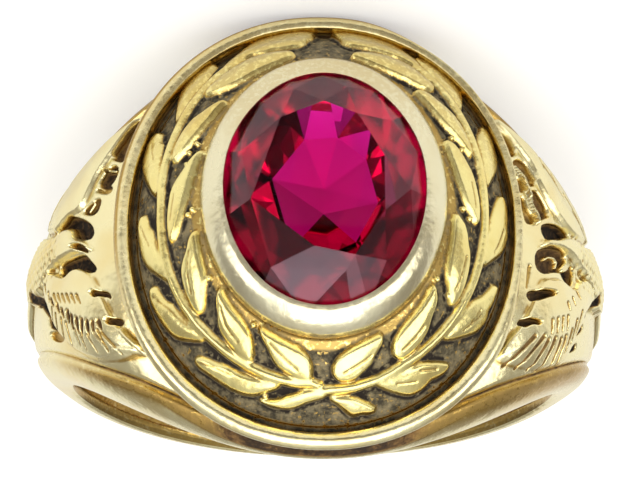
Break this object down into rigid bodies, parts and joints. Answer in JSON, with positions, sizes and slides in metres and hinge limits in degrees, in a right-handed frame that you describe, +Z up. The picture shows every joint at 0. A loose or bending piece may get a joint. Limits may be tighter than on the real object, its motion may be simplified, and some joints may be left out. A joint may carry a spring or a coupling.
{
  "type": "military ring",
  "caption": "Gold military ring with an oval red stone in a plain collar, a raised laurel wreath round it and a spread eagle on each shoulder, lying on its side.",
  "frame": {"origin": "centre of the ring's bounding box on the surface that it lies on", "axes": "the head faces -Y and a little up, +Y runs from the head to the back of the band, +Z is up from the surface, and the finger hole leans towards +Y as it goes up"},
  "size_m": [0.0238, 0.0268, 0.0172],
  "materials": {
    "yellow_gold": "polished cast gold, dark tarnish in the recesses, fine scratches",
    "pale_gold": "polished pale gold with light scratches",
    "red_stone": "faceted deep red stone, polished"
  },
  "bodies": {
    "root": {"ring_body": "yellow_gold", "bezel_collar": "pale_gold", "oval_ruby": "red_stone"}
  },
  "joints": []
}
